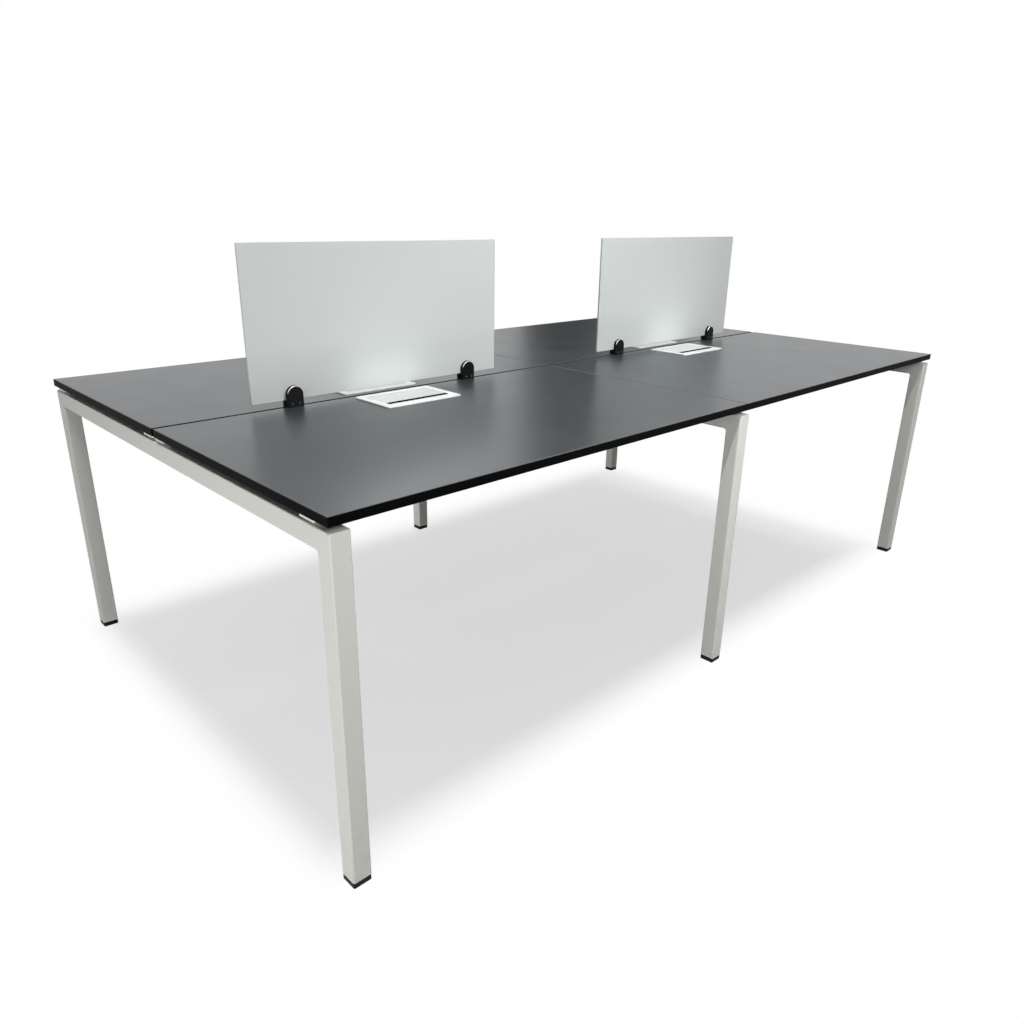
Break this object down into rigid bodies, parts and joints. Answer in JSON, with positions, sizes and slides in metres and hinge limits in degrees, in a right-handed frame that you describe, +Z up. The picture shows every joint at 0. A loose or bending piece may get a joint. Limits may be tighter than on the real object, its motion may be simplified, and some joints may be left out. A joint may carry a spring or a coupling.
{
  "type": "benching desk",
  "caption": "Back-to-back benching desk: dark worktops on white tube portal frames with levelling feet, frosted centre screens on clamps and hinged cable flaps.",
  "frame": {"origin": "on the floor under the middle of the desk", "axes": "+X along the desk's length, +Y from the front row of worktops to the rear row, +Z up"},
  "size_m": [2.402, 1.39, 1.109],
  "materials": {
    "graphite_laminate": "satin graphite laminate on particle board",
    "black_edge_band": "satin black ABS edge band",
    "white_powder_coat": "off-white fine-texture powder coat",
    "black_plastic": "matte black moulded polyamide",
    "white_aluminium": "white coated aluminium, satin",
    "plated_steel": "zinc-plated steel",
    "black_bristle": "black nylon bristle",
    "frosted_acrylic": "frosted translucent acrylic",
    "black_clamp": "gloss black painted die-casting"
  },
  "bodies": {
    "desk": {"left_frame": "white_powder_coat", "left_front_leg_plug": "black_plastic", "left_rear_leg_plug": "black_plastic", "middle_frame": "white_powder_coat", "middle_front_leg_plug": "black_plastic", "middle_rear_leg_plug": "black_plastic", "right_frame": "white_powder_coat", "right_front_leg_plug": "black_plastic", "right_rear_leg_plug": "black_plastic", "front_left_worktop": "graphite_laminate", "front_left_edge_band": "black_edge_band", "front_left_flap_bezel": "white_aluminium", "front_left_flap_brush": "black_bristle", "front_left_flap_hinge_pin": "plated_steel", "front_left_rail": "white_powder_coat", "rear_left_worktop": "graphite_laminate", "rear_left_edge_band": "black_edge_band", "rear_left_flap_bezel": "white_aluminium", "rear_left_flap_brush": "black_bristle", "rear_left_flap_hinge_pin": "plated_steel", "rear_left_rail": "white_powder_coat", "left_screen": "frosted_acrylic", "left_screen_left_clamp_front_jaw": "black_clamp", "left_screen_left_clamp_rear_jaw": "black_clamp", "left_screen_left_clamp_plate": "plated_steel", "left_screen_right_clamp_front_jaw": "black_clamp", "left_screen_right_clamp_rear_jaw": "black_clamp", "left_screen_right_clamp_plate": "plated_steel", "front_right_worktop": "graphite_laminate", "front_right_edge_band": "black_edge_band", "front_right_flap_bezel": "white_aluminium", "front_right_flap_brush": "black_bristle", "front_right_flap_hinge_pin": "plated_steel", "front_right_rail": "white_powder_coat", "rear_right_worktop": "graphite_laminate", "rear_right_edge_band": "black_edge_band", "rear_right_flap_bezel": "white_aluminium", "rear_right_flap_brush": "black_bristle", "rear_right_flap_hinge_pin": "plated_steel", "rear_right_rail": "white_powder_coat", "right_screen": "frosted_acrylic", "right_screen_left_clamp_front_jaw": "black_clamp", "right_screen_left_clamp_rear_jaw": "black_clamp", "right_screen_left_clamp_plate": "plated_steel", "right_screen_right_clamp_front_jaw": "black_clamp", "right_screen_right_clamp_rear_jaw": "black_clamp", "right_screen_right_clamp_plate": "plated_steel"},
    "front_left_flap_lid": {"front_left_flap_lid": "white_aluminium"},
    "rear_left_flap_lid": {"rear_left_flap_lid": "white_aluminium"},
    "front_right_flap_lid": {"front_right_flap_lid": "white_aluminium"},
    "rear_right_flap_lid": {"rear_right_flap_lid": "white_aluminium"},
    "left_front_foot": {"left_front_foot": "black_plastic"},
    "left_rear_foot": {"left_rear_foot": "black_plastic"},
    "middle_front_foot": {"middle_front_foot": "black_plastic"},
    "middle_rear_foot": {"middle_rear_foot": "black_plastic"},
    "right_front_foot": {"right_front_foot": "black_plastic"},
    "right_rear_foot": {"right_rear_foot": "black_plastic"}
  },
  "joints": [
    {"name": "front_left_flap_hinge", "type": "hinge", "parent": "desk", "child": "front_left_flap_lid", "pos_m": [-0.601, -0.04, 0.74], "axis": [-1, 0, 0], "range_deg": [0, 100]},
    {"name": "rear_left_flap_hinge", "type": "hinge", "parent": "desk", "child": "rear_left_flap_lid", "pos_m": [-0.601, 0.04, 0.74], "axis": [1, 0, 0], "range_deg": [0, 100]},
    {"name": "front_right_flap_hinge", "type": "hinge", "parent": "desk", "child": "front_right_flap_lid", "pos_m": [0.601, -0.04, 0.74], "axis": [-1, 0, 0], "range_deg": [0, 100]},
    {"name": "rear_right_flap_hinge", "type": "hinge", "parent": "desk", "child": "rear_right_flap_lid", "pos_m": [0.601, 0.04, 0.74], "axis": [1, 0, 0], "range_deg": [0, 100]},
    {"name": "left_front_foot_level", "type": "slide", "parent": "desk", "child": "left_front_foot", "axis": [0, 0, -1], "range_m": [0, 0.01]},
    {"name": "left_rear_foot_level", "type": "slide", "parent": "desk", "child": "left_rear_foot", "axis": [0, 0, -1], "range_m": [0, 0.01]},
    {"name": "middle_front_foot_level", "type": "slide", "parent": "desk", "child": "middle_front_foot", "axis": [0, 0, -1], "range_m": [0, 0.01]},
    {"name": "middle_rear_foot_level", "type": "slide", "parent": "desk", "child": "middle_rear_foot", "axis": [0, 0, -1], "range_m": [0, 0.01]},
    {"name": "right_front_foot_level", "type": "slide", "parent": "desk", "child": "right_front_foot", "axis": [0, 0, -1], "range_m": [0, 0.01]},
    {"name": "right_rear_foot_level", "type": "slide", "parent": "desk", "child": "right_rear_foot", "axis": [0, 0, -1], "range_m": [0, 0.01]}
  ]
}
